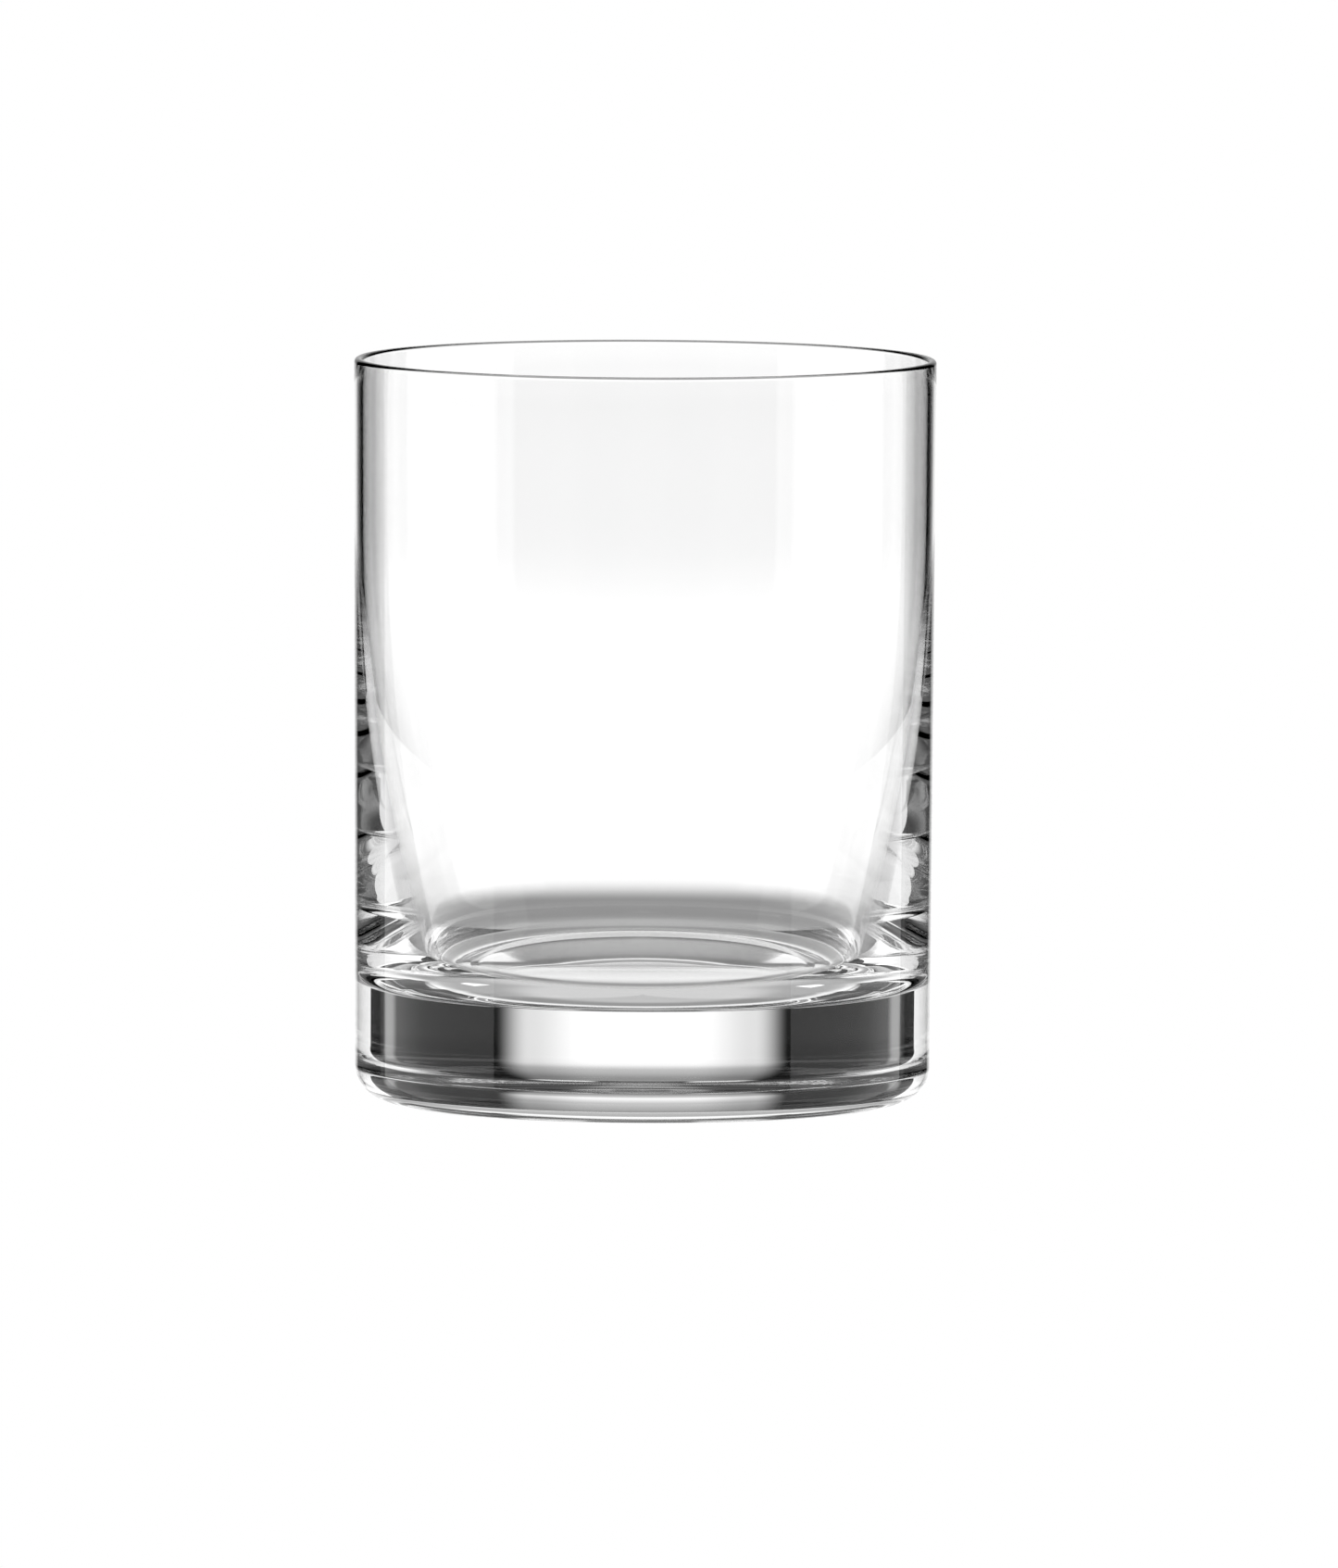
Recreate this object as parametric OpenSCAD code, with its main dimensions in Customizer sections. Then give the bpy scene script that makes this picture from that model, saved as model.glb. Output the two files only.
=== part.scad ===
// Straight-sided whiskey tumbler: one piece of clear glass with a thin wall, a heavy base
// and a cavity that rounds off into the floor. The axis of the glass is the Z axis and the
// glass stands on z = 0. Every surface is turned about that axis.

/* [Outside] */
// Height of the glass
height = 102; // [90:0.5:115]
// Outside diameter at the rim
rim_d = 80; // [74:0.5:86]
// Outside diameter that the side would have at the table, without the heel
base_d = 79; // [73:0.5:80]
// Radius of the rounded heel
heel_r = 4.8; // [3:0.1:6]

/* [Rim and wall] */
// Thickness of the wall at the rim, which is rounded to half of it
rim_wall = 1.2; // [1:0.1:2.5]
// Height at which the inside starts to curve inwards
shoulder_z = 78; // [65:1:85]
// Radius of the long inward curve of the inside
wall_curve_r = 245; // [220:5:320]

/* [Base] */
// Thickness of the glass at the middle of the floor
floor_z = 15.3; // [10:0.1:20]
// Radius of the low dome that the floor is part of
dome_r = 390; // [200:10:1200]
// Radius of the corner between the inside wall and the floor
corner_r = 9; // [4:0.5:12]
// Diameter of the shallow hollow under the base
punt_d = 58; // [40:1:58]
// Depth of the hollow under the base
punt_depth = 1.5; // [0.3:0.1:1.5]
// Radius of the soft edge of the hollow, where it meets the ring that the glass stands on
punt_edge_r = 8; // [2:0.5:10]

/* [Hidden] */

rim_r = rim_d / 2;
base_r = base_d / 2;

// Lean of the side from upright, and the direction that faces out of it
lean = atan2(rim_r - base_r, height);
side_out = [cos(lean), -sin(lean)];
// The heel touches the side and the table
heel_centre = [base_r + heel_r * tan(lean) - heel_r / cos(lean), heel_r];
// The lip touches the outside and the inside of the wall, and its top is the top of the glass
lip_r = rim_wall / 2;
lip_z = height - lip_r;
lip_centre = [base_r + lip_z * tan(lean) - lip_r / cos(lean), lip_z];
// The long curve starts where the inside of the wall meets the shoulder height
shoulder = [base_r + shoulder_z * tan(lean) - rim_wall / cos(lean), shoulder_z];
curve_centre = shoulder - wall_curve_r * side_out;
// The corner touches the long curve from inside and the dome of the floor from above, so its
// centre is a known distance from the centre of each
dome_centre = [0, floor_z - dome_r];
to_dome = dome_centre - curve_centre;
apart = norm(to_dome);
curve_reach = wall_curve_r - corner_r;
dome_reach = dome_r + corner_r;
along = (curve_reach ^ 2 - dome_reach ^ 2 + apart ^ 2) / (2 * apart);
aside = sqrt(curve_reach ^ 2 - along ^ 2);
corner_centre = curve_centre + (along * to_dome + aside * [-to_dome.y, to_dome.x]) / apart;
corner_from_curve = corner_centre - curve_centre;
corner_from_dome = corner_centre - dome_centre;
curve_turn = atan2(corner_from_curve.y, corner_from_curve.x);
dome_turn = atan2(corner_from_dome.y, corner_from_dome.x);
// The hollow under the base is part of a large ball, and its edge touches the ball and the table
punt_r = ((punt_d / 2) ^ 2 + punt_depth ^ 2) / (2 * punt_depth);
punt_centre = [0, punt_depth - punt_r];
edge_x = sqrt(punt_depth * (2 * (punt_r + punt_edge_r) - punt_depth));
punt_turn = asin(edge_x / (punt_r + punt_edge_r));

// Points along an arc about a centre, from one angle to another
function arc(centre, r, from, to, steps) =
    [for (i = [0:steps]) let (a = from + (to - from) * i / steps) centre + r * [cos(a), sin(a)]];

// Half of the section through the axis, from the middle of the underside round to the floor
section = concat(
    arc(punt_centre, punt_r, 90, 90 - punt_turn, 12),
    arc([edge_x, punt_edge_r], punt_edge_r, -90 - punt_turn, -90, 3),
    arc(heel_centre, heel_r, -90, -lean, 16),
    arc(lip_centre, lip_r, -lean, 180 - lean, 16),
    arc(curve_centre, wall_curve_r, -lean, curve_turn, 24),
    arc(corner_centre, corner_r, curve_turn, dome_turn - 180, 24),
    arc(dome_centre, dome_r, dome_turn, 90, 8)
);

// The glass itself, pressed and blown in one piece
module tumbler() {
    color([0.93, 0.96, 0.97, 0.35])
        rotate_extrude($fn = 180) polygon(section);
}

tumbler();
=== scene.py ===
import math

import bmesh
import bpy
from mathutils import Matrix, Vector


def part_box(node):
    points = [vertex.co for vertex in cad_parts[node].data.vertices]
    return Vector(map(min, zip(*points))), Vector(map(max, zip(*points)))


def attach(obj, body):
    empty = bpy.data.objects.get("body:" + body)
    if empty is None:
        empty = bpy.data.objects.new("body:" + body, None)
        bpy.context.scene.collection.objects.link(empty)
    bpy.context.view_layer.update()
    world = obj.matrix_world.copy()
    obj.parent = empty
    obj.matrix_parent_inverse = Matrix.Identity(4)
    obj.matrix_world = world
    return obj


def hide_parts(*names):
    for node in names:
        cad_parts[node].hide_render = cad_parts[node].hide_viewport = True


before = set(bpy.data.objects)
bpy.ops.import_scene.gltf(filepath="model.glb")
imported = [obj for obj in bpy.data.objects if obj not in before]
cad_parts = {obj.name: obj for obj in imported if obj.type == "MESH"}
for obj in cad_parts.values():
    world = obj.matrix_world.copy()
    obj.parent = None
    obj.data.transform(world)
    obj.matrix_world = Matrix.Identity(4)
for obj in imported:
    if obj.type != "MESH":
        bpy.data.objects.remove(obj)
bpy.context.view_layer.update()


# ------------------------------------------------------------------------------------------
# The tumbler. One piece of clear lead-free crystal, pressed and blown in a turning mould, so
# every surface is round about the axis. The rim is cut and fire-polished to a thin bead, and
# the thick base keeps a low dome inside and a shallow hollow underneath.
# ------------------------------------------------------------------------------------------
tumbler_low, tumbler_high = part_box("tumbler")
MM = 0.001
height = tumbler_high.z
rim_r = min(tumbler_high.x, tumbler_high.y, -tumbler_low.x, -tumbler_low.y)
lean_out = 0.5 * MM
base_r = rim_r - lean_out
rim_wall = 1.2 * MM
shoulder_z = 78 * MM
wall_curve_r = 245 * MM
corner_r = 9 * MM
floor_z = 15.3 * MM
dome_r = 390 * MM
heel_r = 4.8 * MM
punt_half = 29 * MM
punt_depth = 1.5 * MM
punt_edge_r = 8 * MM
facet = 3 * MM

# The side leans out a little from the table to the rim
lean = math.atan2(rim_r - base_r, height)
side_out = Vector((math.cos(lean), -math.sin(lean)))
lip_r = rim_wall / 2
lip_z = height - lip_r
heel_centre = Vector((base_r + heel_r * math.tan(lean) - heel_r / math.cos(lean), heel_r))
lip_centre = Vector((base_r + lip_z * math.tan(lean) - lip_r / math.cos(lean), lip_z))
shoulder = Vector((base_r + shoulder_z * math.tan(lean) - rim_wall / math.cos(lean), shoulder_z))
curve_centre = shoulder - wall_curve_r * side_out

# The corner touches the long curve from inside and the dome of the floor from above
dome_centre = Vector((0, floor_z - dome_r))
to_dome = dome_centre - curve_centre
apart = to_dome.length
curve_reach = wall_curve_r - corner_r
dome_reach = dome_r + corner_r
along = (curve_reach ** 2 - dome_reach ** 2 + apart ** 2) / (2 * apart)
aside = math.sqrt(curve_reach ** 2 - along ** 2)
corner_centre = curve_centre + (along * to_dome + aside * Vector((-to_dome.y, to_dome.x))) / apart
from_curve = corner_centre - curve_centre
from_dome = corner_centre - dome_centre
curve_turn = math.atan2(from_curve.y, from_curve.x)
dome_turn = math.atan2(from_dome.y, from_dome.x)

# The hollow is part of a large ball, and its soft edge touches the ball and the table
punt_r = (punt_half ** 2 + punt_depth ** 2) / (2 * punt_depth)
edge_x = math.sqrt(punt_depth * (2 * (punt_r + punt_edge_r) - punt_depth))
punt_turn = math.asin(edge_x / (punt_r + punt_edge_r))


class Section:
    """Half of the section through the axis, drawn from one end to the other in the XZ plane."""

    def __init__(self, radius, z):
        self.bm = bmesh.new()
        self.end = self.bm.verts.new((radius, 0, z))

    def turn(self, centre, angle, steps):
        """Carries the end round a centre, anticlockwise where the angle is positive."""
        spun = bmesh.ops.spin(
            self.bm, geom=[self.end], cent=(centre[0], 0, centre[1]), axis=(0, -1, 0),
            dvec=(0, 0, 0), angle=angle, steps=steps, use_merge=False, use_duplicate=False)
        self.end = next(g for g in spun["geom_last"] if isinstance(g, bmesh.types.BMVert))

    def straight(self, radius, z):
        """Draws a straight stretch in short lengths, so that its shading stays true."""
        start, stop = self.end.co.copy(), Vector((radius, 0, z))
        lengths = math.ceil((stop - start).length / facet)
        for i in range(lengths):
            drawn = bmesh.ops.extrude_vert_indiv(self.bm, verts=[self.end])
            self.end = drawn["verts"][0]
            self.end.co = start.lerp(stop, (i + 1) / lengths)


# From the middle of the underside round to the floor; each arc ends with its number of steps
section = Section(0, punt_depth)
section.turn((0, punt_depth - punt_r), -punt_turn, 24)
section.turn((edge_x, punt_edge_r), punt_turn, 8)
section.straight(heel_centre.x, 0)
section.turn(heel_centre, math.pi / 2 - lean, 40)
section.straight(lip_centre.x + lip_r * side_out.x, lip_centre.y + lip_r * side_out.y)
section.turn(lip_centre, math.pi, 32)
section.straight(shoulder.x, shoulder.y)
section.turn(curve_centre, curve_turn + lean, 60)
section.turn(corner_centre, dome_turn - math.pi - curve_turn, 48)
section.turn(dome_centre, math.pi / 2 - dome_turn, 24)

sides = 256
weld = 0.001 * MM
bm = section.bm
bmesh.ops.spin(
    bm, geom=bm.verts[:] + bm.edges[:], cent=(0, 0, 0), axis=(0, 0, 1), dvec=(0, 0, 0),
    angle=math.tau, steps=sides, use_merge=True, use_duplicate=False)
bmesh.ops.remove_doubles(bm, verts=bm.verts, dist=weld)
bmesh.ops.recalc_face_normals(bm, faces=bm.faces)
for face in bm.faces:
    face.smooth = True
glass_mesh = bpy.data.meshes.new("tumbler_glass")
bm.to_mesh(glass_mesh)
bm.free()
tumbler_glass = bpy.data.objects.new("tumbler_glass", glass_mesh)
bpy.context.scene.collection.objects.link(tumbler_glass)


class Wire:
    """A value in a finish, which sums and products with other values turn into Math nodes."""

    def __init__(self, finish, socket):
        self.finish = finish
        self.socket = socket

    def __add__(self, other):
        return self.finish.math("ADD", self, other)

    def __sub__(self, other):
        return self.finish.math("SUBTRACT", self, other)

    def __rsub__(self, other):
        return self.finish.math("SUBTRACT", other, self)

    def __mul__(self, other):
        return self.finish.math("MULTIPLY", self, other)

    __radd__ = __add__
    __rmul__ = __mul__


class Finish:
    """The nodes of one finish or of the room around the glass, emptied and built up again."""

    def __init__(self, owner):
        owner.use_nodes = True
        self.tree = owner.node_tree
        self.tree.nodes.clear()

    def node(self, kind, settings=None, sockets=None, output=0):
        """Adds a node, sets it up, and fills or links its sockets."""
        made = self.tree.nodes.new(kind)
        for name, value in (settings or {}).items():
            setattr(made, name, value)
        for name, value in (sockets or {}).items():
            if isinstance(value, Wire):
                self.tree.links.new(value.socket, made.inputs[name])
            else:
                made.inputs[name].default_value = value
        return Wire(self, made.outputs[output]) if made.outputs else made

    def math(self, operation, *values):
        return self.node("ShaderNodeMath", {"operation": operation}, dict(enumerate(values)))

    def parts(self, vector):
        """The three numbers of a place or a direction."""
        split = self.node("ShaderNodeSeparateXYZ", {}, {"Vector": vector})
        return [Wire(self, socket) for socket in split.socket.node.outputs]

    def rises(self, value, start, end):
        """0 up to the start and 1 from the end on, with a soft slope between them."""
        return self.node(
            "ShaderNodeMapRange", {"interpolation_type": "SMOOTHSTEP"},
            {"Value": value, "From Min": start, "From Max": end, "To Min": 0.0, "To Max": 1.0})


clear_glass = bpy.data.materials.new("clear_glass")
finish = Finish(clear_glass)
# The mould leaves a waviness of a few thousandths of a millimetre, about 17 mm from crest to crest
waves_per_metre = 60.0
wave_height = 0.003 * MM
on_glass = finish.node("ShaderNodeTexCoord", output="Object")
waves = finish.node(
    "ShaderNodeTexNoise", {}, {"Vector": on_glass, "Scale": waves_per_metre, "Detail": 1.0})
ripple = finish.node(
    "ShaderNodeBump", {},
    {"Height": waves, "Strength": 1.0, "Distance": wave_height, "Filter Width": 1.0})
glass = finish.node(
    "ShaderNodeBsdfPrincipled", {},
    {"Base Color": (0.99, 0.99, 0.99, 1), "Roughness": 0.0, "IOR": 1.52,
     "Transmission Weight": 1.0, "Normal": ripple})
finish.node("ShaderNodeOutputMaterial", {}, {"Surface": glass})
glass_mesh.materials.append(clear_glass)

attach(tumbler_glass, "root")
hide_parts("tumbler")


# ------------------------------------------------------------------------------------------
# The room around the glass, as the glass shows it. A pale table, its light and shade painted in, is
# brightest towards the card behind the glass, and the walls over it stay dark but for a few grey
# stretches and two lamps.
# Seen straight from the camera, the room is plain white.
# ------------------------------------------------------------------------------------------
studio = bpy.data.worlds.new("studio")
bpy.context.scene.world = studio
room = Finish(studio)
direction = room.node("ShaderNodeTexCoord", output="Generated")
to_side, to_back, upward = room.parts(direction)
# Degrees round from straight behind the glass, the same to the left and right, and above level
turn = room.math("ARCTAN2", room.math("ABSOLUTE", to_side), to_back) * math.degrees(1)
rise = room.math("ARCSINE", upward) * math.degrees(1)
card_end = 1 - room.rises(turn, 24, 38)
camera_end = room.rises(turn, 100, 125)

# The table, from the patch under the glass out to its far edges, with its light and shade painted
# in:
# darker in a ring of directions near the glass, a painted shade, and brighter further out and most
# towards the card, painted light, with a brighter patch straight below
under_glass = 0.25 * (1 - room.rises(rise, -62, -46))
far_edge = (0.18 + 0.66 * card_end) * room.rises(rise, -33, -19)
near_edge = 0.35 * camera_end * room.rises(rise, -42, -20)
painted_table = 0.32 + 0.12 * (1 - card_end) + under_glass + far_edge + near_edge

# The walls, with a grey corner between the card and each softbox, and the ceiling over the card
corners = 0.3 * (room.rises(turn, 48, 51) - room.rises(turn, 53, 56)) * (1 - room.rises(rise, 5, 15))
camera_wall = camera_end * (0.2 - 0.16 * room.rises(rise, 3, 12))
ceiling = (0.5 - 0.44 * room.rises(turn, 15, 40)) * room.rises(rise, 35, 55)

# Two small lamps hang high over the card, one at each side of its middle
lamp_width = room.rises(turn, 7, 10) * (1 - room.rises(turn, 17, 22))
lamp_height = room.rises(rise, 27, 30) * (1 - room.rises(rise, 37, 41))
walls = camera_wall + corners + ceiling + 1.1 * lamp_width * lamp_height

above_table = room.rises(rise, -15, -8)
light = painted_table + above_table * (walls - painted_table)
seen = room.node("ShaderNodeLightPath", output="Is Camera Ray")
glow = room.node(
    "ShaderNodeBackground", {}, {"Color": (1, 1, 1, 1), "Strength": light + seen * (1 - light)})
room.node("ShaderNodeOutputWorld", {}, {"Surface": glow})


# ------------------------------------------------------------------------------------------
# The lit cards. A tall card of white cloth stands a metre behind the glass, brightest at its
# foot, and a softbox stands on each side. The table mirrors them, so they go on below its top.
# ------------------------------------------------------------------------------------------
def lit_card(name, brightness, placing, width, low, high):
    """An upright card, which glows at each place as brightly as its own function says."""
    bm = bmesh.new()
    bmesh.ops.create_grid(bm, x_segments=1, y_segments=1, size=0.5)
    bmesh.ops.scale(bm, vec=(width, high - low, 1), verts=bm.verts)
    bmesh.ops.translate(bm, vec=(0, (low + high) / 2, 0), verts=bm.verts)
    bmesh.ops.rotate(bm, matrix=Matrix.Rotation(math.pi / 2, 3, "X"), verts=bm.verts)
    bmesh.ops.transform(bm, matrix=placing, verts=bm.verts)
    mesh = bpy.data.meshes.new(name)
    bm.to_mesh(mesh)
    bm.free()
    board = bpy.data.objects.new(name, mesh)
    bpy.context.scene.collection.objects.link(board)
    material = bpy.data.materials.new(name)
    cloth = Finish(material)
    x, y, z = cloth.parts(cloth.node("ShaderNodeTexCoord", output="Object"))
    lamp = cloth.node(
        "ShaderNodeEmission", {}, {"Color": (1, 1, 1, 1), "Strength": brightness(cloth, x, y, z)})
    cloth.node("ShaderNodeOutputMaterial", {}, {"Surface": lamp})
    mesh.materials.append(material)
    board.visible_camera = False
    board.visible_diffuse = False
    board.visible_shadow = False


def card_light(cloth, x, y, z):
    """Brightest at its middle and its foot, and fading towards its sides and its top."""
    aside = cloth.math("ABSOLUTE", x)
    across = 1 - 0.3 * cloth.rises(aside, 0.11, 0.27) - 0.7 * cloth.rises(aside, 0.27, 0.38)
    foot = 1.17 - 0.1 * cloth.rises(z, -0.06, 0.01) - 0.5 * cloth.rises(z, 0.015, 0.13)
    return across * (foot - 0.27 * cloth.rises(z, 0.1, 0.35))


def softbox_light(cloth, x, y, z):
    """Brighter at its back half, and fading near its top."""
    return (0.9 + 0.4 * cloth.rises(y, 0, 0.12)) * (1 - 0.8 * cloth.rises(z, 0.2, 0.28))


card_back = 1.0
softbox_side = 0.33
lit_card("card", card_light, Matrix.Translation((0, card_back, 0)), width=0.8, low=-0.25, high=0.55)
for side, name in ((-1, "softbox_left"), (1, "softbox_right")):
    to_its_side = Matrix.Translation((side * softbox_side, 0, 0))
    facing_glass = Matrix.Rotation(math.pi / 2, 4, "Z")
    lit_card(name, softbox_light, to_its_side @ facing_glass, width=0.4, low=-0.3, high=0.3)


# ------------------------------------------------------------------------------------------
# The floor. A plain white sheet that the glass stands on, as bright as the room around it.
# Only the camera sees it, so that it throws no second light into the glass.
# ------------------------------------------------------------------------------------------
half_floor = 2.0
bm = bmesh.new()
bmesh.ops.create_grid(bm, x_segments=1, y_segments=1, size=half_floor)
floor_mesh = bpy.data.meshes.new("floor")
bm.to_mesh(floor_mesh)
bm.free()
floor = bpy.data.objects.new("floor", floor_mesh)
bpy.context.scene.collection.objects.link(floor)
white_sheet = bpy.data.materials.new("white_sheet")
sheet = Finish(white_sheet)
sheet_glow = sheet.node("ShaderNodeEmission", {}, {"Color": (1, 1, 1, 1), "Strength": 1.0})
sheet.node("ShaderNodeOutputMaterial", {}, {"Surface": sheet_glow})
floor_mesh.materials.append(white_sheet)
floor.visible_transmission = False
floor.visible_glossy = False
floor.visible_diffuse = False
floor.visible_shadow = False


# ------------------------------------------------------------------------------------------
# The camera. It looks slightly down on the glass from far off through a long lens, and it is
# turned a quarter of a degree about its own line of sight.
# ------------------------------------------------------------------------------------------
distance = 3.5
look_down = math.radians(4.73)
tilt = math.radians(0.27)
view_height = 2.111 * height
sensor = 36
aim = Vector((0.0035, 0, 0.426 * height))
camera_data = bpy.data.cameras.new("camera")
camera_data.sensor_fit = "VERTICAL"
camera_data.sensor_height = sensor
camera_data.lens = sensor * distance / view_height
camera_data.clip_end = 20
camera = bpy.data.objects.new("camera", camera_data)
bpy.context.scene.collection.objects.link(camera)
camera_place = aim + distance * Vector((0, -math.cos(look_down), math.sin(look_down)))
camera.matrix_world = (
    Matrix.Translation(camera_place)
    @ Matrix.Rotation(math.pi / 2 - look_down, 4, "X")
    @ Matrix.Rotation(tilt, 4, "Z"))
scene = bpy.context.scene
scene.camera = camera
scene.view_settings.view_transform = "Standard"
# Enough bounces for light that runs round inside the wall and the base
bounces = 32
scene.cycles.max_bounces = bounces
scene.cycles.transmission_bounces = bounces
scene.cycles.glossy_bounces = bounces
